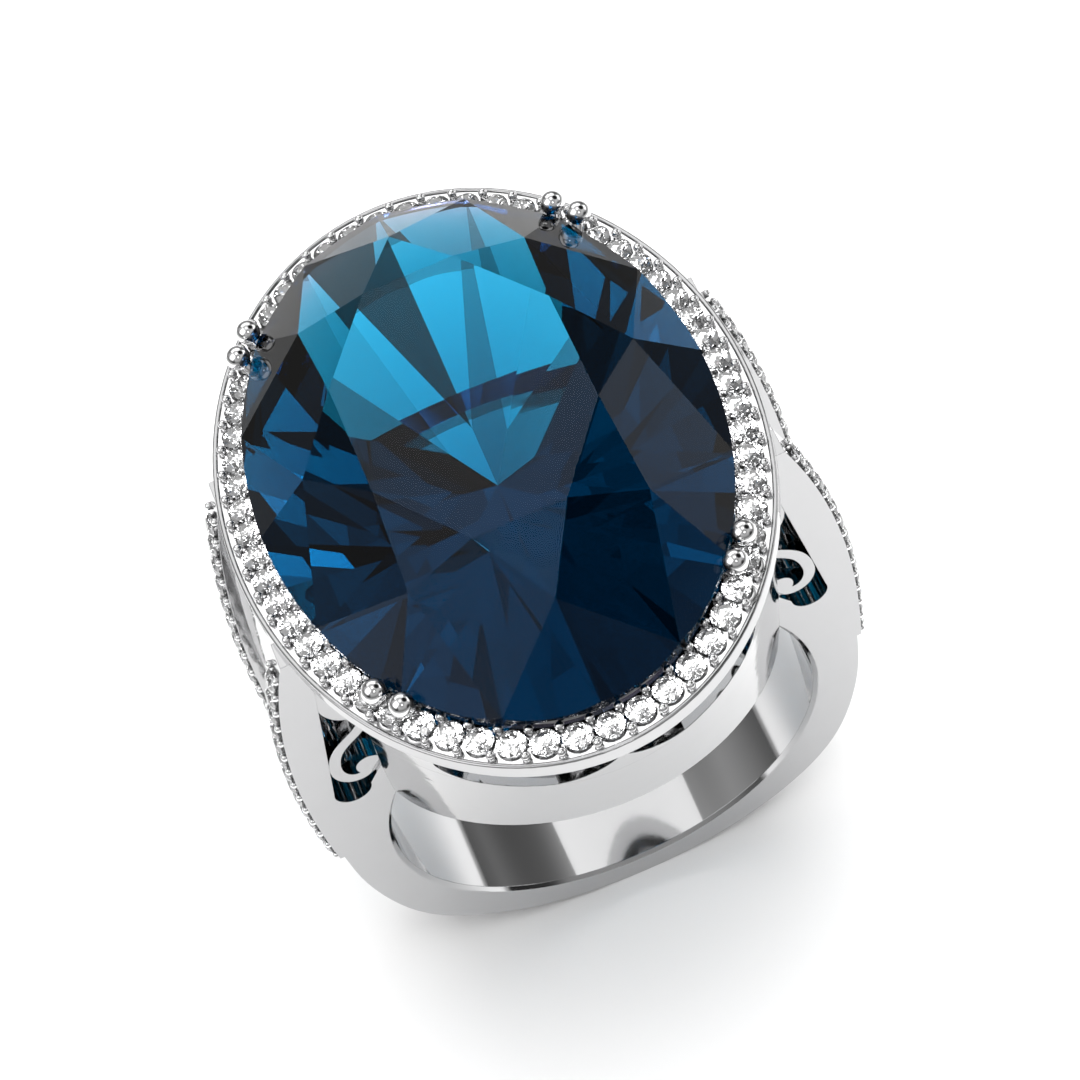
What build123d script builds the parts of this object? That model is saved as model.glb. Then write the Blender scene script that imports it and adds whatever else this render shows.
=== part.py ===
"""Cocktail ring: a large oval stone in a diamond halo, on a tapered split-shoulder shank.

Millimetres. +Z runs up through the stone, the finger passes along Y, and the front of the
ring faces -Y. The origin is the lowest point of the shank, on its centre line.
"""
import os
from math import cos, hypot, radians, sin, tan

from build123d import *

# ------------------------------------------------------------------ finger band and shank
BORE_RADIUS = 8.65            # ring size US 7, 17.3 mm across
BAND_BOTTOM = 1.25            # metal below the finger
BAND_OVER = 1.35              # metal between the finger and the gallery
BORE_Z = BORE_RADIUS + BAND_BOTTOM
BAND_OUTER = BORE_RADIUS + BAND_OVER
BORE_BEVEL = 0.15             # polished bevel at both mouths of the bore
FACE_HALF_BOTTOM = 2.10       # half the shank's width at its lowest point
FACE_TAPER = 0.10             # each flat side leans out by this much per mm of height
BLANK_HALF = 7.0              # half width of the blank that the tapered sides are cut from
CULET_OPENING = (6.0, 3.2)    # half axes of the oval window in the band, under the stone's point

# Outline of the shank's right half, seen from the front: (x, z)
STEP_Z = 10.9                 # the diamond rails end here, with a small step
STEP_DEPTH = 0.17
LOWER_OUTLINE = [(0, 0), (5.95, 1.55), (8.85, 4.20), (10.25, 7.90), (10.63, STEP_Z)]
UPPER_OUTLINE = [(10.63 + STEP_DEPTH, STEP_Z), (11.0, 14.4), (10.64, 20.2), (9.52, 24.83)]

POCKET_Z = 15.22              # centre height of the rounded pocket bottoms
POCKET_WALL_X = 9.92          # outer wall of the pocket at that height
POCKET_LEAN = 0.15            # the wall leans in by this much per mm of height

RAIL_WIDTH = 1.15             # each diamond rail, measured across the shank
GROOVE_DEPTH = 0.45           # polished groove between the two rails
GROOVE_FOOT = 0.8             # the groove starts this far above the step
GROOVE_CLEAR = 1.0            # the cutter that makes it stands this far out of the metal

# ------------------------------------------------------------------------------ head
HALO_Z = 25.50                # height of the halo's bead centres
PLATE_TOP = HALO_Z - 0.17
PLATE_BOTTOM = HALO_Z - 0.67
STONE_LINE = (8.845, 12.70)   # half axes of the oval that the halo diamonds follow
BEAD_REACH = 0.52             # beads stand this far each side of that oval
PLATE_INNER = (8.00, 11.86)
PLATE_OUTER = (9.56, 13.42)
RIM_WIDTH = 0.20
RIM_TOP = HALO_Z - 0.10
RIM_ROUND = 0.08
SEAT_WALL = 0.30              # wall of the ring that the centre stone sits in
SEAT_TOP = HALO_Z + 0.10

HALO_COUNT = 60
HALO_DIAMOND = 0.54           # radii
HALO_BEAD = 0.18
ROW_COUNT = 13
ROW_DIAMOND = 0.475
ROW_BEAD = 0.15
ROW_PITCH = 1.0
ROW_START = 0.65              # first shoulder diamond above the step
ROW_BEAD_REACH = 0.41
PAVILION_SLOPE = tan(radians(41))
SEAT_RATIO = 0.76             # drilled seat, as a fraction of the diamond's radius
SEAT_DRILL = 1.0              # length of the drill that cuts it
MELEE_TABLE = 0.56            # small diamonds: table and crown height, by girdle radius
MELEE_CROWN = 0.32
MELEE_GIRDLE = 0.05
ROW_BEAD_CENTRE = 0.06        # height of a shoulder bead's centre above the rail

# Centre stone, an oval brilliant: its facets are placed in girdle half axes
GIRDLE = (8.42, 12.30)
GIRDLE_Z = HALO_Z + 0.34
GIRDLE_BAND = 0.42
CROWN = 2.92
TABLE = 0.54                  # the table's corners
STAR_TIP = 0.743              # where the star facets end
LOWER_TIP = 0.19              # where the lower girdle facets end
CULET_Z = BORE_Z + BORE_RADIUS + 0.2
HALF_STEP = 11.25             # the girdle meets 16 facets above and 16 below

# Claws: the ball positions of the front right pair, mirrored to the other three corners
CLAW_BALLS = [(6.08, 9.24), (6.77, 8.26)]
CLAW_Z = HALO_Z + 0.87
CLAW_BALL = 0.46
CLAW_POST = 0.24
CLAW_FOOT_SCALE = 0.875       # the foot stands on a smaller oval than the ball

# Under-gallery apron, a leaning oval wall at each end of the stone
APRON_TOP = 23.35
APRON_TOP_AXES = (9.50, 13.03)
APRON_LOW = 13.16
APRON_LOW_AXES = (8.30, 9.15)
APRON_WALL = 1.1
APRON_RELIEF = 0.18           # the apron's saddle edge stands this far off the finger
APRON_FOOT = 11.5             # the wall is drawn down to here, then cut by the bore
APRON_END_Z = 14.2            # above this height the apron's ends lean away from the shank
APRON_END_LEAN = 0.475

# Gallery: two crescent openings at each end, nearly meeting in a peak at the centre
GALLERY_PEAK = 0.12
GALLERY_CURVE = (1.0, 0.60)   # a point on the rise beside the peak: x, height above the apron
GALLERY_FOOT = 2.3            # the openings reach their full height here
GALLERY_SILL = 0.06
GALLERY_TURN = 4.7            # the far end of each opening: sill, corner, side and top
GALLERY_CORNER = (5.60, 0.42)
GALLERY_END = (5.9, 0.25)
GALLERY_SHOULDER = 4.9
GALLERY_HEAD = 0.05           # metal left above the openings

LEAF_CENTRE = (8.02, 21.40)
LEAF_AXES = (1.04, 1.55)
SCROLL_WIRE = 0.46
SCROLL_PATH = [(7.62, 20.05), (7.74, 19.35), (8.17, 18.80), (8.65, 18.42), (9.11, 17.93),
               (9.38, 17.25), (9.42, 16.57), (9.17, 16.02), (8.75, 15.82), (8.37, 15.97),
               (8.20, 16.35)]
SCROLL_END = 0.54
FILIGREE_RECESS = 0.15
FILIGREE_DEPTH = 0.80

os.makedirs("parts", exist_ok=True)


def save(part, name):
    """Label one finished piece and write it as its own STEP file."""
    part.label = name
    export_step(part, f"parts/{name}.step")


def face_half(z):
    """Half the shank's width at height z."""
    return FACE_HALF_BOTTOM + FACE_TAPER * z


def side_plane(side, inset=0.0):
    """Plane of a tapered side, moved inwards by inset; side is -1 for the front, 1 for the back."""
    return Plane(origin=(0, side * (FACE_HALF_BOTTOM - inset), 0), x_dir=(1, 0, 0),
                 z_dir=(0, side, -FACE_TAPER))


def pocket_wall(z):
    return POCKET_WALL_X - POCKET_LEAN * (z - POCKET_Z)


# ---------------------------------------------------------------------- repeated positions
upper_edge = Edge.make_spline([Vector(x, 0, z) for x, z in UPPER_OUTLINE])
oval_edge = Edge.make_ellipse(STONE_LINE[0], STONE_LINE[1])


def rail_plane(distance, side, across=0.0):
    """Plane on the right-hand rail's surface, at a distance up from the step."""
    spot = upper_edge.position_at(distance, position_mode=PositionMode.LENGTH)
    along = upper_edge.tangent_at(distance, position_mode=PositionMode.LENGTH)
    outward = (along.Z, 0, -along.X)
    y = side * (face_half(spot.Z) - RAIL_WIDTH / 2 + across)
    return Plane(origin=(spot.X, y, spot.Z), x_dir=along, z_dir=outward)


def halo_spot(step, reach, height):
    """Location on the halo, step pitches from the front, reach outside the diamonds' oval."""
    length = oval_edge.length
    distance = (0.75 * length + step * length / HALO_COUNT) % length
    spot = oval_edge.position_at(distance, position_mode=PositionMode.LENGTH)
    along = oval_edge.tangent_at(distance, position_mode=PositionMode.LENGTH)
    outward = Vector(along.Y, -along.X, 0)
    return Location(spot + outward * reach + Vector(0, 0, height))


row_steps = [ROW_START + k * ROW_PITCH for k in range(ROW_COUNT)]
row_gaps = [ROW_START + (k - 0.5) * ROW_PITCH for k in range(ROW_COUNT + 1)]
halo_steps = range(HALO_COUNT)


# ------------------------------------------------------------------------------- diamonds
def melee(radius):
    """Small diamond whose pavilion rests in a drilled seat; z = 0 is the metal's surface."""
    lift = radius * (1 - SEAT_RATIO) * PAVILION_SLOPE
    band = MELEE_GIRDLE * radius
    top = lift + band + MELEE_CROWN * radius
    with BuildPart() as gem:
        with BuildSketch(Plane.XZ):
            with BuildLine():
                Polyline((0, lift - radius * PAVILION_SLOPE), (radius, lift), (radius, lift + band),
                         (MELEE_TABLE * radius, top), (0, top), close=True)
            make_face()
        revolve(axis=Axis.Z)
    return gem.part


def bead(radius, centre):
    """Grain of metal: a ball cut flat where it meets the surface at z = 0."""
    with BuildPart() as grain:
        with Locations((0, 0, centre)):
            Sphere(radius)
        split(bisect_by=Plane.XY, keep=Keep.TOP)
    return grain.part


halo_gem = melee(HALO_DIAMOND)
row_gem = melee(ROW_DIAMOND)
halo_grain = bead(HALO_BEAD, HALO_Z - PLATE_TOP)
row_grain = bead(ROW_BEAD, ROW_BEAD_CENTRE)

# ---------------------------------------------------------------------------------- shank
with BuildPart() as shank:
    with BuildSketch(Plane.XZ):
        with BuildLine():
            Spline(*LOWER_OUTLINE, tangents=((1, 0), (0.08, 1)))
            Line(LOWER_OUTLINE[-1], UPPER_OUTLINE[0])
            Spline(*UPPER_OUTLINE)
            Line(UPPER_OUTLINE[-1], (0, UPPER_OUTLINE[-1][1]))
            Line((0, UPPER_OUTLINE[-1][1]), (0, 0))
        make_face()
        mirror(about=Plane.YZ)
    extrude(amount=BLANK_HALF, both=True)
    for side in (-1, 1):
        split(bisect_by=side_plane(side), keep=Keep.BOTTOM)
    # The opening between the arms, above the band, with its two rounded pocket bottoms
    pocket_inner = (BAND_OUTER**2 - (POCKET_Z - BORE_Z)**2)**0.5
    pocket_radius = (POCKET_WALL_X - pocket_inner) / 2
    pocket_x = pocket_inner + pocket_radius
    with BuildSketch(Plane.XZ):
        with BuildLine():
            Polyline((POCKET_WALL_X, POCKET_Z), (pocket_wall(HALO_Z), HALO_Z),
                     (-pocket_wall(HALO_Z), HALO_Z), (-POCKET_WALL_X, POCKET_Z), close=True)
        make_face()
        with Locations((0, BORE_Z)):
            Circle(BAND_OUTER, mode=Mode.SUBTRACT)
        with Locations((pocket_x, POCKET_Z), (-pocket_x, POCKET_Z)):
            Circle(pocket_radius)
    extrude(amount=BLANK_HALF, both=True, mode=Mode.SUBTRACT)
    with BuildSketch(Plane.XZ):
        with Locations((0, BORE_Z)):
            Circle(BORE_RADIUS)
    extrude(amount=BLANK_HALF, both=True, mode=Mode.SUBTRACT)
    with BuildSketch(Plane.XY.offset(BORE_Z)):
        Ellipse(*CULET_OPENING)
    extrude(amount=BAND_OUTER, mode=Mode.SUBTRACT)
    bore_wall = shank.faces().filter_by(GeomType.CYLINDER).sort_by(SortBy.AREA)[-1]
    mouths = bore_wall.edges().filter_by(lambda e: e.length > BORE_RADIUS)
    chamfer([e for e in mouths if e.geom_type != GeomType.LINE], BORE_BEVEL)

# Polished groove between the two rails of one shoulder
with BuildPart() as groove:
    groove_foot = upper_edge.position_at(GROOVE_FOOT, position_mode=PositionMode.LENGTH).Z
    with BuildSketch(Plane.XZ):
        with BuildLine():
            Spline(*[(x + GROOVE_CLEAR, z) for x, z in UPPER_OUTLINE])
            Line((UPPER_OUTLINE[-1][0] + GROOVE_CLEAR, UPPER_OUTLINE[-1][1]),
                 (UPPER_OUTLINE[-1][0] - GROOVE_DEPTH, UPPER_OUTLINE[-1][1]))
            Spline(*[(x - GROOVE_DEPTH, z) for x, z in UPPER_OUTLINE])
            Line((UPPER_OUTLINE[0][0] - GROOVE_DEPTH, UPPER_OUTLINE[0][1]),
                 (UPPER_OUTLINE[0][0] + GROOVE_CLEAR, UPPER_OUTLINE[0][1]))
        make_face()
    extrude(amount=BLANK_HALF, both=True)
    for side in (-1, 1):
        split(bisect_by=side_plane(side, RAIL_WIDTH), keep=Keep.BOTTOM)
    split(bisect_by=Plane.XY.offset(groove_foot), keep=Keep.TOP)

# Drilled seats of one shoulder
with BuildPart() as seats:
    with Locations(*[rail_plane(d, side) for side in (-1, 1) for d in row_steps]):
        Cylinder(ROW_DIAMOND * SEAT_RATIO, SEAT_DRILL)

with BuildPart() as finished_shank:
    add(shank.part)
    for cutter in (groove.part, seats.part):
        add(cutter, mode=Mode.SUBTRACT)
        add(mirror(cutter, about=Plane.YZ), mode=Mode.SUBTRACT)
save(finished_shank.part, "shank")

# ------------------------------------------------------------------ shoulder diamond rows
for side, end in ((-1, "front"), (1, "back")):
    with BuildPart() as row:
        with Locations(*[rail_plane(d, side) for d in row_steps]):
            add(row_gem)
    with BuildPart() as grains:
        with Locations(*[rail_plane(d, side, across) for d in row_gaps
                         for across in (-ROW_BEAD_REACH, ROW_BEAD_REACH)]):
            add(row_grain)
    save(row.part, f"shoulder_diamonds_{end}_right")
    save(grains.part, f"shoulder_beads_{end}_right")
    save(mirror(row.part, about=Plane.YZ), f"shoulder_diamonds_{end}_left")
    save(mirror(grains.part, about=Plane.YZ), f"shoulder_beads_{end}_left")

# ------------------------------------------------------------------------- centre stone
def facet_plane(angle, level, rise, top=True):
    """Plane of a facet that meets the girdle's edge level from the centre and climbs by rise."""
    c, s = cos(radians(angle)) / GIRDLE[0], sin(radians(angle)) / GIRDLE[1]
    corner = (level * cos(radians(angle)) * GIRDLE[0], level * sin(radians(angle)) * GIRDLE[1])
    if top:
        return Plane(origin=(*corner, GIRDLE_Z + GIRDLE_BAND), z_dir=(rise * c, rise * s, 1))
    return Plane(origin=(*corner, GIRDLE_Z), z_dir=(rise * c, rise * s, -1))


chord = cos(radians(HALF_STEP))
corner_chord = cos(radians(2 * HALF_STEP))
main_rise = CROWN / (1 - TABLE)
star_drop = main_rise * (STAR_TIP * corner_chord - TABLE)
star_rise = star_drop / (STAR_TIP - TABLE * corner_chord)
star_level = STAR_TIP + (CROWN - star_drop) / star_rise
upper_rise = (CROWN - star_drop) / (chord - STAR_TIP * chord)
depth = GIRDLE_Z - CULET_Z
lower_rise = depth * (1 - LOWER_TIP * corner_chord) / (chord - LOWER_TIP * chord)

with BuildPart() as centre_stone:
    with BuildSketch(Plane.XY.offset(CULET_Z)):
        Ellipse(*GIRDLE)
    extrude(amount=depth + GIRDLE_BAND + CROWN)
    for k in range(8):
        split(bisect_by=facet_plane((4 * k + 2) * HALF_STEP, 1, main_rise), keep=Keep.BOTTOM)
        split(bisect_by=facet_plane(4 * k * HALF_STEP, star_level, star_rise), keep=Keep.BOTTOM)
        split(bisect_by=facet_plane((4 * k + 2) * HALF_STEP, 1, depth, top=False), keep=Keep.BOTTOM)
    for k in range(16):
        angle = (2 * k + 1) * HALF_STEP
        split(bisect_by=facet_plane(angle, chord, upper_rise), keep=Keep.BOTTOM)
        split(bisect_by=facet_plane(angle, chord, lower_rise, top=False), keep=Keep.BOTTOM)
save(centre_stone.part, "centre_stone")

# ----------------------------------------------------------------------------------- claws
claw_parts = {}
with BuildPart() as claw_pair:
    for x, y in CLAW_BALLS:
        foot = Vector(x * CLAW_FOOT_SCALE, -y * CLAW_FOOT_SCALE, PLATE_BOTTOM)
        ball = Vector(x, -y, CLAW_Z)
        post = Plane(origin=foot, z_dir=ball - foot)
        with BuildSketch(post):
            Circle(CLAW_POST)
        extrude(amount=(ball - foot).length)
        with Locations(ball):
            Sphere(CLAW_BALL)
    split(bisect_by=Plane.XY.offset(PLATE_BOTTOM), keep=Keep.TOP)
    add(centre_stone.part, mode=Mode.SUBTRACT)
claw_parts["front_right"] = claw_pair.part
claw_parts["front_left"] = mirror(claw_pair.part, about=Plane.YZ)
claw_parts["back_right"] = mirror(claw_pair.part, about=Plane.XZ)
claw_parts["back_left"] = mirror(claw_parts["back_right"], about=Plane.YZ)
for corner, part in claw_parts.items():
    save(part, f"claws_{corner}")


def near_claw(spot, room):
    """True where a bead would stand in a claw's way."""
    for x, y in CLAW_BALLS:
        rise = (spot.Z - PLATE_BOTTOM) / (CLAW_Z - PLATE_BOTTOM)
        scale = CLAW_FOOT_SCALE + (1 - CLAW_FOOT_SCALE) * rise
        if hypot(abs(spot.X) - x * scale, abs(spot.Y) - y * scale) < room:
            return True
    return False


# ------------------------------------------------------------------------------------ halo
with BuildPart() as halo_plate:
    with BuildSketch(Plane.XY.offset(PLATE_BOTTOM)):
        Ellipse(*PLATE_OUTER)
        Ellipse(*PLATE_INNER, mode=Mode.SUBTRACT)
    extrude(amount=PLATE_TOP - PLATE_BOTTOM)
    with Locations(*[halo_spot(k, 0, PLATE_TOP) for k in halo_steps]):
        Cylinder(HALO_DIAMOND * SEAT_RATIO, 2 * SEAT_DRILL, mode=Mode.SUBTRACT)
    for part in claw_parts.values():
        add(part, mode=Mode.SUBTRACT)
save(halo_plate.part, "halo_plate")

with BuildPart() as halo_rim:
    with BuildSketch(Plane.XY.offset(PLATE_BOTTOM)):
        Ellipse(PLATE_OUTER[0] + RIM_WIDTH, PLATE_OUTER[1] + RIM_WIDTH)
        Ellipse(*PLATE_OUTER, mode=Mode.SUBTRACT)
    extrude(amount=RIM_TOP - PLATE_BOTTOM)
    fillet(halo_rim.faces().sort_by(Axis.Z)[-1].edges(), RIM_ROUND)
save(halo_rim.part, "halo_rim")

with BuildPart() as seat_ring:
    with BuildSketch(Plane.XY.offset(PLATE_BOTTOM)):
        Ellipse(*PLATE_INNER)
        Ellipse(PLATE_INNER[0] - SEAT_WALL, PLATE_INNER[1] - SEAT_WALL, mode=Mode.SUBTRACT)
    extrude(amount=SEAT_TOP - PLATE_BOTTOM)
    for part in (centre_stone.part, *claw_parts.values()):
        add(part, mode=Mode.SUBTRACT)
save(seat_ring.part, "seat_ring")

with BuildPart() as halo_diamonds:
    with Locations(*[halo_spot(k, 0, PLATE_TOP) for k in halo_steps]):
        add(halo_gem)
save(halo_diamonds.part, "halo_diamonds")

for reach, name in ((BEAD_REACH, "halo_beads_outer"), (-BEAD_REACH, "halo_beads_inner")):
    spots = [halo_spot(k + 0.5, reach, PLATE_TOP) for k in halo_steps]
    with BuildPart() as beads:
        with Locations(*[s for s in spots if not near_claw(s.position, CLAW_POST + HALO_BEAD)]):
            add(halo_grain)
    save(beads.part, name)


# --------------------------------------------------------------- under-gallery and gallery
def apron_axes(z, inset):
    """Half axes of the apron's leaning wall at height z."""
    t = (z - APRON_LOW) / (APRON_TOP - APRON_LOW)
    return [low + t * (top - low) - inset for low, top in zip(APRON_LOW_AXES, APRON_TOP_AXES)]


end_plane = Plane(origin=(0, -face_half(APRON_END_Z), APRON_END_Z), x_dir=(1, 0, 0),
                  z_dir=(0, 1, APRON_END_LEAN))
with BuildPart() as apron:
    for inset, mode in ((0, Mode.ADD), (APRON_WALL, Mode.SUBTRACT)):
        for z in (APRON_FOOT, APRON_TOP):
            with BuildSketch(Plane.XY.offset(z)):
                Ellipse(*apron_axes(z, inset))
        loft(mode=mode)
    with BuildSketch(Plane.XZ):
        with Locations((0, BORE_Z)):
            Circle(BORE_RADIUS + APRON_RELIEF)
    extrude(amount=2 * BLANK_HALF, mode=Mode.SUBTRACT)
    split(bisect_by=side_plane(-1), keep=Keep.TOP)
    split(bisect_by=end_plane, keep=Keep.BOTTOM)
    split(bisect_by=Plane.XY.offset(BORE_Z), keep=Keep.TOP)
save(apron.part, "apron_front")
save(mirror(apron.part, about=Plane.XZ), "apron_back")

sill = APRON_TOP + GALLERY_SILL
head = PLATE_BOTTOM - GALLERY_HEAD
corner_x, corner_rise = GALLERY_CORNER
end_x, end_drop = GALLERY_END
with BuildPart() as gallery:
    for inset, mode in ((0, Mode.ADD), (APRON_WALL, Mode.SUBTRACT)):
        for z in (APRON_TOP, PLATE_BOTTOM):
            with BuildSketch(Plane.XY.offset(z)):
                Ellipse(*apron_axes(z, inset))
        loft(mode=mode)
    split(bisect_by=end_plane, keep=Keep.BOTTOM)
    with BuildSketch(Plane.XZ):
        with BuildLine():
            ThreePointArc((GALLERY_PEAK, head), (GALLERY_CURVE[0], APRON_TOP + GALLERY_CURVE[1]),
                          (GALLERY_FOOT, sill))
            Line((GALLERY_FOOT, sill), (GALLERY_TURN, sill))
            ThreePointArc((GALLERY_TURN, sill), (corner_x, APRON_TOP + corner_rise),
                          (end_x, PLATE_BOTTOM - end_drop))
            Line((end_x, PLATE_BOTTOM - end_drop), (GALLERY_SHOULDER, head))
            Line((GALLERY_SHOULDER, head), (GALLERY_PEAK, head))
        make_face()
        mirror(about=Plane.YZ)
    extrude(amount=3 * BLANK_HALF, mode=Mode.SUBTRACT)
save(gallery.part, "gallery_front")
save(mirror(gallery.part, about=Plane.XZ), "gallery_back")

# -------------------------------------------------------------------------------- filigree
filigree_plane = side_plane(-1, FILIGREE_RECESS)
with BuildPart() as scroll:
    with BuildSketch(filigree_plane):
        with BuildLine():
            Spline(*SCROLL_PATH)
        trace(line_width=SCROLL_WIRE)
        with Locations(SCROLL_PATH[-1]):
            Circle(SCROLL_END)
    extrude(amount=-FILIGREE_DEPTH)
    add(finished_shank.part, mode=Mode.SUBTRACT)

with BuildPart() as leaf:
    with BuildSketch(filigree_plane):
        with Locations(LEAF_CENTRE):
            Ellipse(*LEAF_AXES)
    extrude(amount=-FILIGREE_DEPTH)
    add(finished_shank.part, mode=Mode.SUBTRACT)
    add(scroll.part, mode=Mode.SUBTRACT)

for piece, name in ((scroll.part, "scroll"), (leaf.part, "leaf")):
    back = mirror(piece, about=Plane.XZ)
    save(piece, f"{name}_front_right")
    save(back, f"{name}_back_right")
    save(mirror(piece, about=Plane.YZ), f"{name}_front_left")
    save(mirror(back, about=Plane.YZ), f"{name}_back_left")
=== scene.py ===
"""Cocktail ring: looks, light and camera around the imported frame. All lengths are in metres."""

from math import atan2, cos, degrees, pi, radians, sin, tan

import bmesh
import bpy
import numpy as np
from mathutils import Matrix, Vector


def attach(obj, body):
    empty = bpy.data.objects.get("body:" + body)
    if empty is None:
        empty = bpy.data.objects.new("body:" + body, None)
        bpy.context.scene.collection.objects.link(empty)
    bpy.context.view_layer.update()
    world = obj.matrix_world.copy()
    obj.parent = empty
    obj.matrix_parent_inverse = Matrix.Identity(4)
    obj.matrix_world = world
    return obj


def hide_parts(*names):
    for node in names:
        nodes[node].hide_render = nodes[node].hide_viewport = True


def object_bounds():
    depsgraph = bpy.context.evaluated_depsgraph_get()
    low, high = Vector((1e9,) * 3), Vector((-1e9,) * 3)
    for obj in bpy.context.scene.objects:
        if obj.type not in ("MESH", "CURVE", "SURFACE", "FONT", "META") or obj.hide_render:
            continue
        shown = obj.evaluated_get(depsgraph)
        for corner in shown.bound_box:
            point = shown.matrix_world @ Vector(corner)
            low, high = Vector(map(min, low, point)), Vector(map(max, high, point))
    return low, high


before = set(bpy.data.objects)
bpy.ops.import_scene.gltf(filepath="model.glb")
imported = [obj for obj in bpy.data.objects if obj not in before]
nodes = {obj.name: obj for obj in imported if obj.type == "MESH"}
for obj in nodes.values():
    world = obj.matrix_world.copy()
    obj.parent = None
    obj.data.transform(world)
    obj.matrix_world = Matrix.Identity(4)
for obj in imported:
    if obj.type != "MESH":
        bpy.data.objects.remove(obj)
cad_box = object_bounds()
scene = bpy.context.scene

MM = 0.001
RING_MIDDLE = (cad_box[0] + cad_box[1]) / 2

# -------------------------------------------------------------------------------- light
# Brightness of the studio by the height of the direction, from -1 straight down to 1 straight up
WORLD_GREYS = [(-1.0, 0.9), (-0.1, 0.3), (0.0, 0.15), (0.1, 0.2), (0.34, 0.38), (0.64, 0.55),
               (0.85, 0.42), (0.97, 0.6), (0.995, 1.7), (1.0, 1.8)]
# Painted shade: the floor's colour is painted greyer away from the ring, a painted falloff of light
FLOOR_PAINTED_FALLOFF = (60 * MM, 120 * MM, 1.0, 0.4)  # distances from the ring, and how pale there
# Directions are an azimuth and an elevation in degrees; azimuth 0 is the front and 90 the right
# Small lights seen through the stones, which make them sparkle: name, azimuth, elevation
SPARKLE_BOXES = [("sparkle_left", -34, 42), ("sparkle_high", 22, 66), ("sparkle_right", 38, 38),
                 ("sparkle_low", -6, 30)]
SPARKLE_SIZE = (24, 24)       # degrees
SPARKLE_BRIGHTNESS = 9.0
# Lights seen only in reflections: name, azimuth, elevation, size in degrees, brightness
METAL_BOXES = [("window_box", 4, 52, (12, 12), 2.5), ("back_box", 178, 46, (60, 34), 0.95),
               ("left_box", -82, 44, (46, 50), 1.0), ("right_box", 100, 20, (40, 24), 0.9)]
SOFTBOX_DISTANCE = 0.5        # from the ring
# Dark cards: azimuth, elevation, inner and outer half angle, shade
DARK_CARDS = [(95, 54, 15, 24, 0.03), (0, 52, 14, 30, 0.7), (-58, 14, 10, 20, 0.2),
              (48, 8, 10, 20, 0.2), (140, 22, 10, 22, 0.3), (-150, 28, 10, 20, 0.3)]
# Lamps that light matte surfaces, so the floor above all: name, place, side, power in watts
FLOOR_LAMPS = [("floor_key", (0.05, 0.0, 0.22), 0.30, 0.75), ("floor_fill", (0, 0, 0.60), 1.2, 3.2)]
FLOOR_HALF = 2.0              # half the floor's side
PAPER_ROUGHNESS = 0.9
PAPER_GRAIN = 40.0            # noise per metre
PAPER_SHADES = ((0.90, 0.90, 0.90), (0.92, 0.92, 0.92))

# ------------------------------------------------------------------------------- camera
CAMERA_PLACE = Vector((-3.95, -78.14, 118.28)) * MM
CAMERA_AIM = Vector((0.473, -4.413, 25.50)) * MM
CAMERA_ROLL = radians(-20.545)
CAMERA_LENS = 114.55          # millimetres, on the sensor below
CAMERA_SENSOR = 36.0
CAMERA_CLIP = (0.005, 10.0)

# -------------------------------------------------------------------------------- metal
CLOUD_SCALE = 900.0           # noise per metre
CLOUD_SHADE = 0.96
MARK_SCALE = 5200.0
MARK_SPREAD = (0.7, 1.3)      # how the buffing marks change the roughness
MARK_STRENGTH = 0.05
MARK_DEPTH = 0.002 * MM

# ------------------------------------------------------------------------------- stones
ZONING_SCALE = 260.0          # noise per metre
ZONING_PALER = 1.03
STONE_ROUGHNESS = 0.004
DIAMOND_TABLE = 0.53          # small brilliants, by girdle radius
DIAMOND_CROWN_SLOPE = tan(radians(34.5))
DIAMOND_PAVILION_SLOPE = tan(radians(41.0))
DIAMOND_GIRDLE = 0.05
DIAMOND_STAR = 0.55           # how far the star facets reach from the table to the girdle
DIAMOND_LOWER = 0.78          # how far the lower girdle facets reach towards the culet
STONE_FIT = 0.995             # a brilliant's girdle by its CAD stone's, so that it clears the seat
GIRDLE_BAND = 0.98            # points this near the widest radius belong to the girdle
PLACE_DIGITS = 7              # decimals of a metre that tell two points of a mesh apart
DIAMOND_TURN = pi / 4         # a brilliant repeats every eighth of a turn
CROWN_STEP = 22.5             # degrees between the centre stone's crown facets
# Painted shade and light on each crown facet, anticlockwise from the right: how clear its colour is
# painted, standing in for the dark and bright facets that reflections give
CROWN_PAINTED_SHADE = [0.25, 0.3, 0.6, 0.9, 1.0, 0.9, 0.55, 0.3, 0.25, 0.4, 0.7, 0.8, 0.95, 0.3,
                   0.7, 0.4]
PAVILION_STEP = 11.25
# Painted shade and light on each pavilion facet, anticlockwise from one step past the right: how
# clear its colour is painted, standing in for the dark and bright facets that reflections give
PAVILION_PAINTED_SHADE = [0.3, 0.5, 0.9, 0.6, 0.95, 0.5, 1.0, 0.5, 0.12, 0.95, 0.75, 0.5, 0.3, 0.9, 0.6, 0.6,
             1.0, 0.3, 0.25, 0.6, 1.0, 0.9, 0.2, 0.6, 1.0, 0.25, 0.9, 0.6, 0.15, 1.0, 0.7, 0.5]
FACET_LIMIT = radians(0.4)    # faces of the centre stone within this angle are one facet
STONE_SCALE = 0.997
TABLE_FACING = 0.99           # a facet that faces up more than this is the table
CROWN_FACING = -0.2           # and more than this is on the crown or the girdle
OVAL_RATIO = 1.46             # the stone's length by its width


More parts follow.
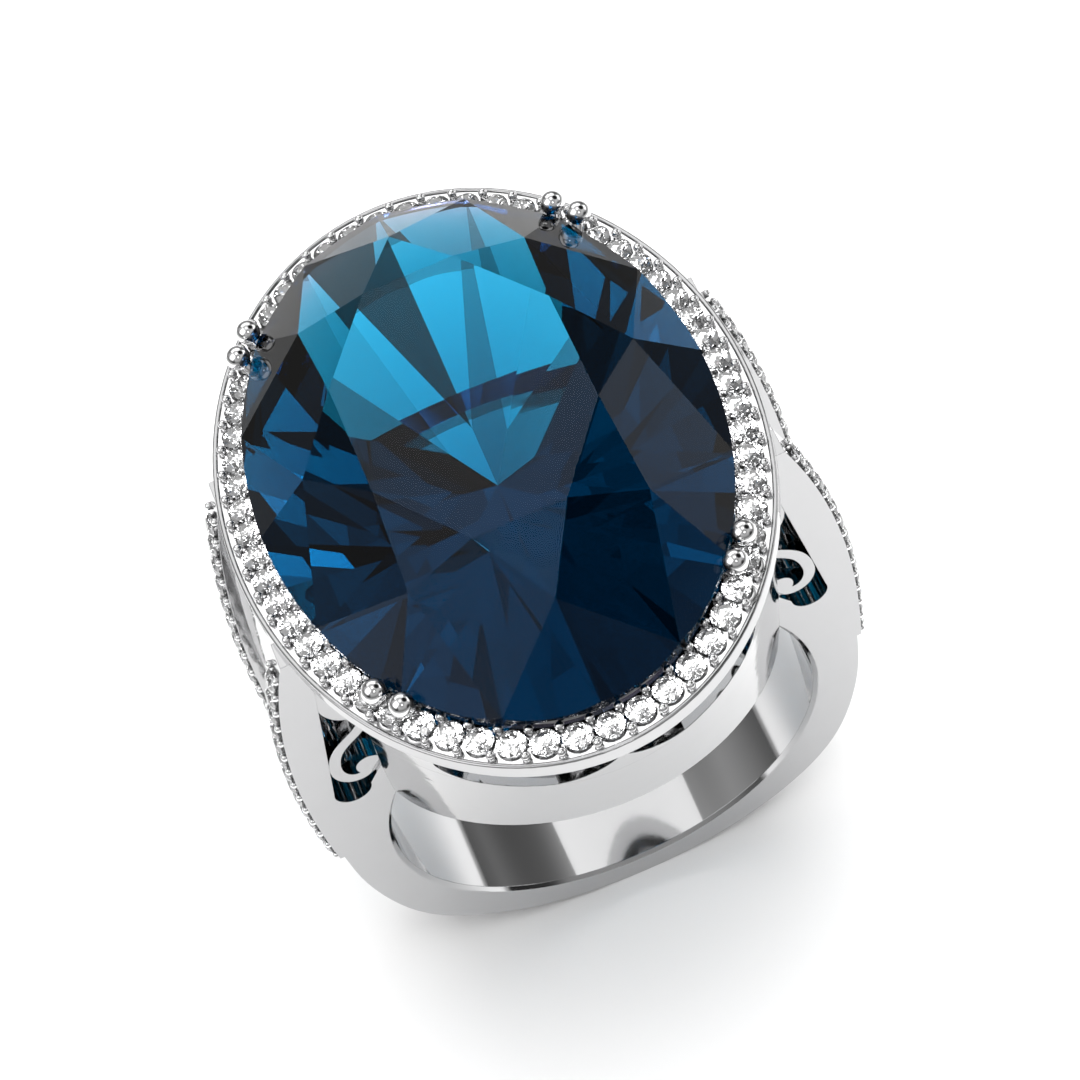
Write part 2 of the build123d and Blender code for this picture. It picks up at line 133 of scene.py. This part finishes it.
# ---------------------------------------------------------------------------- materials
class Nodes:
    """A small helper that builds one material's node tree."""

    def __init__(self, name):
        self.material = bpy.data.materials.new(name)
        self.material.use_nodes = True
        self.tree = self.material.node_tree
        self.shader = self.tree.nodes["Principled BSDF"]
        self.output = self.tree.nodes["Material Output"]

    def add(self, kind, **settings):
        node = self.tree.nodes.new(kind)
        for key, value in settings.items():
            if key in node.inputs:
                node.inputs[key].default_value = value
            else:
                setattr(node, key, value)
        return node

    def link(self, source, target):
        self.tree.links.new(source, target)

    def noise(self, scale, detail=4.0, roughness=0.5):
        place = self.add("ShaderNodeTexCoord")
        noise = self.add("ShaderNodeTexNoise", Scale=scale, Detail=detail, Roughness=roughness)
        self.link(place.outputs["Object"], noise.inputs["Vector"])
        return noise

    def ramp(self, source, low, high):
        """Map a 0 to 1 source onto a range of numbers."""
        node = self.add("ShaderNodeMapRange")
        node.inputs["To Min"].default_value = low
        node.inputs["To Max"].default_value = high
        self.link(source, node.inputs["Value"])
        return node.outputs["Result"]

    def colours(self, source, first, second):
        """Map a 0 to 1 source onto a run between two colours."""
        node = self.add("ShaderNodeValToRGB")
        node.color_ramp.elements[0].color = (*first, 1)
        node.color_ramp.elements[1].color = (*second, 1)
        self.link(source, node.inputs["Fac"])
        return node.outputs["Color"]

    def bump(self, source, strength, distance):
        node = self.add("ShaderNodeBump", Strength=strength, Distance=distance)
        self.link(source, node.inputs["Height"])
        self.link(node.outputs["Normal"], self.shader.inputs["Normal"])
        return node


def polished_metal(name, colour, roughness, edge):
    """Rhodium-bright white gold: mirror polish with faint buffing marks and soft edges."""
    m = Nodes(name)
    m.shader.inputs["Metallic"].default_value = 1.0
    clouds = m.noise(CLOUD_SCALE)
    darker = tuple(c * CLOUD_SHADE for c in colour)
    m.link(m.colours(clouds.outputs["Fac"], darker, colour), m.shader.inputs["Base Color"])
    marks = m.noise(MARK_SCALE, detail=2.0)
    low, high = (roughness * spread for spread in MARK_SPREAD)
    m.link(m.ramp(marks.outputs["Fac"], low, high), m.shader.inputs["Roughness"])
    bump = m.bump(marks.outputs["Fac"], MARK_STRENGTH, MARK_DEPTH)
    soft = m.add("ShaderNodeBevel", Radius=edge, samples=4)
    m.link(soft.outputs["Normal"], bump.inputs["Normal"])
    return m.material


def gem_glass(name, ior, tint, clear=1.0, gloss=1.0, absorb=None, density=0.0, painted_shade_attribute=None):
    """Faceted stone; absorb and density give a coloured body, and painted_shade_attribute names a
    mesh attribute that holds each facet's painted shade, by which its colour is darkened."""
    m = Nodes(name)
    m.shader.inputs["Specular Tint"].default_value = (gloss, gloss, gloss, 1)
    m.shader.inputs["Transmission Weight"].default_value = clear
    m.shader.inputs["IOR"].default_value = ior
    zoning = m.noise(ZONING_SCALE, detail=2.0)
    paler = tuple(min(1.0, c * ZONING_PALER) for c in tint)
    colour = m.colours(zoning.outputs["Fac"], tint, paler)
    # painted shade: the colour is scaled by each facet's painted shade
    if painted_shade_attribute:
        shade = m.add("ShaderNodeAttribute", attribute_name=painted_shade_attribute)
        mix = m.add("ShaderNodeVectorMath", operation="SCALE")
        m.link(colour, mix.inputs[0])
        m.link(shade.outputs["Fac"], mix.inputs["Scale"])
        colour = mix.outputs["Vector"]
    m.link(colour, m.shader.inputs["Base Color"])
    m.link(m.ramp(zoning.outputs["Fac"], 0.0, STONE_ROUGHNESS), m.shader.inputs["Roughness"])
    if absorb:
        volume = m.add("ShaderNodeVolumeAbsorption", Color=(*absorb, 1), Density=density)
        m.link(volume.outputs["Volume"], m.output.inputs["Volume"])
    return m.material


# Painted shade and light: one white gold in two colours, painted darker on the shank and setting
# and lighter on the beads, claws and halo plate; the bright cut's smoother roughness and finer
# edges are real
polish_painted_darker = polished_metal("white_gold_polish_painted_darker", (0.54, 0.54, 0.545), 0.06, 0.04 * MM)
bright_cut_painted_lighter = polished_metal("white_gold_bright_cut_painted_lighter", (0.93, 0.93, 0.935), 0.04, 0.02 * MM)
diamond = gem_glass("diamond_brilliant", 2.417, (0.97, 0.975, 0.99), clear=0.96)
blue_topaz = gem_glass("london_blue_topaz", 1.62, (0.85, 0.66, 0.95), gloss=0.18,
                       absorb=(0.0, 0.865, 0.905), density=740.0, painted_shade_attribute="painted_facet_shade")


def finish_with(obj, material):
    obj.data.materials.clear()
    obj.data.materials.append(material)


# --------------------------------------------------------------------------- brilliants
def brilliant():
    """Points and faces of a round brilliant with girdle radius 1, culet down, girdle at z = 0."""
    step = pi / 8
    crown = (1 - DIAMOND_TABLE) * DIAMOND_CROWN_SLOPE
    star = DIAMOND_TABLE + DIAMOND_STAR * (1 - DIAMOND_TABLE)
    star_height = DIAMOND_GIRDLE + (1 - star * cos(step)) * DIAMOND_CROWN_SLOPE
    lower = 1 - DIAMOND_LOWER
    pavilion = DIAMOND_PAVILION_SLOPE

    def ring(radius, height, count, shift):
        turns = [2 * pi * (k + shift) / count for k in range(count)]
        return [(radius * cos(t), radius * sin(t), height) for t in turns]

    table = ring(DIAMOND_TABLE, DIAMOND_GIRDLE + crown, 8, 0.5)
    stars = ring(star, star_height, 8, 0)
    upper = ring(1, DIAMOND_GIRDLE, 16, 0)
    under = ring(1, 0, 16, 0)
    tips = ring(lower, -pavilion * (1 - lower * cos(step)), 8, 0)
    points = table + stars + upper + under + tips + [(0, 0, -pavilion)]
    t, s, u, d, p, culet = 0, 8, 16, 32, 48, 56
    faces = [tuple(range(8))]
    for k in range(8):
        after = (k + 1) % 8
        mid, end = 2 * k + 1, (2 * k + 2) % 16
        faces.append((t + (k - 1) % 8, s + k, t + k))
        faces.append((t + k, s + k, u + mid, s + after))
        faces += [(s + k, u + 2 * k, u + mid), (s + after, u + mid, u + end)]
        faces += [(u + a, d + a, d + b, u + b) for a, b in ((2 * k, mid), (mid, end))]
        faces += [(d + 2 * k, p + k, d + mid), (d + mid, p + after, d + end)]
        faces.append((d + mid, p + k, culet, p + after))
    return np.array(points), faces


def islands(node):
    """Vertex positions of each separate solid in a CAD node."""
    mesh = nodes[node].data
    parent = list(range(len(mesh.vertices)))
    place = {}

    def root(i):
        while parent[i] != i:
            parent[i] = parent[parent[i]]
            i = parent[i]
        return i

    for v in mesh.vertices:
        key = tuple(round(c * 10**PLACE_DIGITS) for c in v.co)
        parent[v.index] = root(place.setdefault(key, v.index))
    for e in mesh.edges:
        parent[root(e.vertices[0])] = root(e.vertices[1])
    groups = {}
    for v in mesh.vertices:
        groups.setdefault(root(v.index), []).append(v.co)
    return [np.array(g, float) for g in groups.values()]


def stone_frames(node):
    """Centre of the girdle, table direction and girdle radius of each small stone in a CAD node."""
    found = []
    for points in islands(node):
        unique = np.unique(np.round(points, PLACE_DIGITS), axis=0)
        spread = unique - unique.mean(0)
        axis = np.linalg.eigh(spread.T @ spread)[1][:, 0]
        along = spread @ axis
        if along.max() > -along.min():
            axis, along = -axis, -along
        away = np.linalg.norm(spread - np.outer(along, axis), axis=1)
        radius = away.max()
        girdle = along[away > radius * GIRDLE_BAND].min()
        found.append((unique.mean(0) + axis * girdle, axis, radius))
    return found


def set_brilliants(name, node):
    """One object with a faceted brilliant in place of each plain stone of a CAD node."""
    shape, faces = brilliant()
    rng = np.random.default_rng(len(node))  # seeded by the length of the node's name
    points, polygons = [], []
    for centre, axis, radius in stone_frames(node):
        turn = rng.uniform(0, DIAMOND_TURN)
        up = Vector(axis)
        side = up.orthogonal().normalized()
        rows = Matrix((side, up.cross(side), up)).transposed()
        spin = np.array(rows @ Matrix.Rotation(turn, 3, "Z"))
        base = len(points)
        points.extend((shape * radius * STONE_FIT) @ spin.T + centre)
        polygons.extend(tuple(base + i for i in f) for f in faces)
    mesh = bpy.data.meshes.new(name)
    mesh.from_pydata([tuple(p) for p in points], [], polygons)
    bm = bmesh.new()
    bm.from_mesh(mesh)
    bmesh.ops.recalc_face_normals(bm, faces=bm.faces)
    bm.to_mesh(mesh)
    bm.free()
    obj = bpy.data.objects.new(name, mesh)
    scene.collection.objects.link(obj)
    finish_with(obj, diamond)
    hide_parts(node)
    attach(obj, "root")


def facet_painted_shade(normal):
    """Painted shade of a facet, by the way it faces: how clear its colour is painted; the table is
    clear.
    """
    turn = degrees(atan2(normal.y * OVAL_RATIO, normal.x)) % 360
    if normal.z > TABLE_FACING:
        return 1.0
    if normal.z > CROWN_FACING:
        return CROWN_PAINTED_SHADE[round(turn / CROWN_STEP) % len(CROWN_PAINTED_SHADE)]
    return PAVILION_PAINTED_SHADE[round((turn - PAVILION_STEP) / PAVILION_STEP) % len(PAVILION_PAINTED_SHADE)]


def set_centre_stone(name, node):
    """The centre stone with flat facets, a hair smaller than its CAD solid so that the metal's
    faces, which are cut to it, stay clear of it."""
    bm = bmesh.new()
    points = [v.co for v in nodes[node].data.vertices]
    for point in np.unique(np.round(points, PLACE_DIGITS), axis=0):
        bm.verts.new(point)
    hull = bmesh.ops.convex_hull(bm, input=bm.verts)
    inside = [g for g in hull["geom_interior"] if isinstance(g, bmesh.types.BMVert)]
    bmesh.ops.delete(bm, geom=inside, context="VERTS")
    bmesh.ops.dissolve_limit(bm, angle_limit=FACET_LIMIT, verts=bm.verts, edges=bm.edges)
    bmesh.ops.recalc_face_normals(bm, faces=bm.faces)
    middle = sum((v.co for v in bm.verts), Vector()) / len(bm.verts)
    for v in bm.verts:
        v.co = middle + (v.co - middle) * STONE_SCALE
    mesh = bpy.data.meshes.new(name)
    bm.to_mesh(mesh)
    bm.free()
    # painted shade: each facet of the centre stone gets a painted darkness from the tables above,
    # in place of the dark and bright facets that reflections give
    shade = mesh.attributes.new("painted_facet_shade", "FLOAT", "FACE")
    # a stone's surface tints light by the square root of its colour each time it is crossed
    for face in mesh.polygons:
        shade.data[face.index].value = facet_painted_shade(face.normal)**2
    obj = bpy.data.objects.new(name, mesh)
    scene.collection.objects.link(obj)
    finish_with(obj, blue_topaz)
    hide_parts(node)
    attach(obj, "root")


for node in sorted(nodes):
    if "diamonds" in node:
        set_brilliants(node.replace("diamonds", "brilliants"), node)
    elif node == "centre_stone":
        set_centre_stone("faceted_oval", node)
    # the beads, claws and plate take the copy painted lighter, the rest the copy painted darker
    elif "beads" in node or "claws" in node or node == "halo_plate":
        finish_with(nodes[node], bright_cut_painted_lighter)
    else:
        finish_with(nodes[node], polish_painted_darker)

# ------------------------------------------------------------------------ floor and light
def pale_floor():
    """White paper whose colour is painted greyer away from the ring: a painted falloff of light."""
    m = Nodes("floor_paper")
    m.shader.inputs["Roughness"].default_value = PAPER_ROUGHNESS
    grain = m.noise(PAPER_GRAIN)
    paper = m.colours(grain.outputs["Fac"], *PAPER_SHADES)
    place = m.add("ShaderNodeTexCoord")
    away = m.add("ShaderNodeVectorMath", operation="LENGTH")
    m.link(place.outputs["Object"], away.inputs[0])
    # painted shade: the paper's colour is dimmed with distance from the ring
    painted_falloff = m.add("ShaderNodeMapRange")
    painted_falloff.interpolation_type = "SMOOTHSTEP"
    for socket, value in zip(("From Min", "From Max", "To Min", "To Max"), FLOOR_PAINTED_FALLOFF):
        painted_falloff.inputs[socket].default_value = value
    m.link(away.outputs["Value"], painted_falloff.inputs["Value"])
    dim = m.add("ShaderNodeVectorMath", operation="SCALE")
    m.link(paper, dim.inputs[0])
    m.link(painted_falloff.outputs["Result"], dim.inputs["Scale"])
    m.link(dim.outputs["Vector"], m.shader.inputs["Base Color"])
    return m.material


mesh = bpy.data.meshes.new("floor")
corners = [(FLOOR_HALF * x, FLOOR_HALF * y, 0) for x, y in ((-1, -1), (1, -1), (1, 1), (-1, 1))]
mesh.from_pydata(corners, [], [(0, 1, 2, 3)])
floor = bpy.data.objects.new("floor", mesh)
scene.collection.objects.link(floor)
finish_with(floor, pale_floor())


def direction(azimuth, elevation):
    """Unit vector from the ring, for an azimuth and elevation in degrees."""
    a, e = radians(azimuth), radians(elevation)
    return Vector((sin(a) * cos(e), -cos(a) * cos(e), sin(e)))


def studio_world():
    """Grey room, darkest at the horizon, with a bright ceiling light and dark cards."""
    world = bpy.data.worlds.new("studio")
    world.use_nodes = True
    tree = world.node_tree
    place = tree.nodes.new("ShaderNodeTexCoord")
    split = tree.nodes.new("ShaderNodeSeparateXYZ")
    height = tree.nodes.new("ShaderNodeMapRange")
    height.inputs["From Min"].default_value = -1.0
    ramp = tree.nodes.new("ShaderNodeValToRGB")
    run = ramp.color_ramp.elements
    run[0].position, run[1].position = 0.0, 1.0
    for _ in WORLD_GREYS[2:]:
        run.new(0.5)
    for element, (level, grey) in zip(run, WORLD_GREYS):
        element.position = (level + 1) / 2
        element.color = (grey, grey, grey, 1)
    tree.links.new(place.outputs["Generated"], split.inputs["Vector"])
    tree.links.new(split.outputs["Z"], height.inputs["Value"])
    tree.links.new(height.outputs["Result"], ramp.inputs["Fac"])
    colour = ramp.outputs["Color"]
    for azimuth, elevation, inner, outer, shade in DARK_CARDS:
        towards = tree.nodes.new("ShaderNodeVectorMath")
        towards.operation = "DOT_PRODUCT"
        towards.inputs[1].default_value = direction(azimuth, elevation)
        edge = tree.nodes.new("ShaderNodeMapRange")
        edge.interpolation_type = "SMOOTHSTEP"
        edge.inputs["From Min"].default_value = cos(radians(outer))
        edge.inputs["From Max"].default_value = cos(radians(inner))
        edge.inputs["To Min"].default_value = 1.0
        edge.inputs["To Max"].default_value = shade
        dim = tree.nodes.new("ShaderNodeVectorMath")
        dim.operation = "SCALE"
        tree.links.new(place.outputs["Generated"], towards.inputs[0])
        tree.links.new(towards.outputs["Value"], edge.inputs["Value"])
        tree.links.new(colour, dim.inputs[0])
        tree.links.new(edge.outputs["Result"], dim.inputs["Scale"])
        colour = dim.outputs["Vector"]
    tree.links.new(colour, tree.nodes["Background"].inputs["Color"])
    scene.world = world


def lamp(name, place, aim, size, power, seen):
    """Rectangular lamp facing its aim; seen is floor for matte surfaces, metal for reflections,
    or stones for what shows through them."""
    data = bpy.data.lights.new(name, "AREA")
    data.shape = "RECTANGLE"
    data.size, data.size_y = size
    data.energy = power
    obj = bpy.data.objects.new(name, data)
    obj.location = place
    obj.rotation_mode = "QUATERNION"
    obj.rotation_quaternion = (Vector(aim) - Vector(place)).to_track_quat("-Z", "Y")
    obj.visible_diffuse = "floor" in seen
    obj.visible_glossy = "metal" in seen
    obj.visible_transmission = "stones" in seen
    obj.visible_camera = False
    scene.collection.objects.link(obj)


def softbox(name, azimuth, elevation, size, brightness, seen):
    """Lamp at a direction from the ring, sized in degrees as the ring sees it."""
    place = SOFTBOX_DISTANCE * direction(azimuth, elevation)
    width, height = (2 * SOFTBOX_DISTANCE * tan(radians(s / 2)) for s in size)
    power = brightness * pi * width * height
    lamp(name, place + RING_MIDDLE, RING_MIDDLE, (width, height), power, seen)


studio_world()
for name, place, side, power in FLOOR_LAMPS:
    lamp(name, place, (0, 0, 0), (side, side), power, "floor")
for name, azimuth, elevation in SPARKLE_BOXES:
    softbox(name, azimuth, elevation, SPARKLE_SIZE, SPARKLE_BRIGHTNESS, "stones")
for name, azimuth, elevation, size, brightness in METAL_BOXES:
    softbox(name, azimuth, elevation, size, brightness, "metal")

# ------------------------------------------------------------------------ camera and output
camera = bpy.data.objects.new("camera", bpy.data.cameras.new("camera"))
camera.data.lens = CAMERA_LENS
camera.data.sensor_width = CAMERA_SENSOR
camera.data.clip_start, camera.data.clip_end = CAMERA_CLIP
camera.location = CAMERA_PLACE
camera.rotation_mode = "QUATERNION"
look = (CAMERA_AIM - CAMERA_PLACE).to_track_quat("-Z", "Y")
camera.rotation_quaternion = look @ Matrix.Rotation(CAMERA_ROLL, 3, "Z").to_quaternion()
scene.collection.objects.link(camera)
scene.camera = camera
scene.view_settings.view_transform = "Standard"
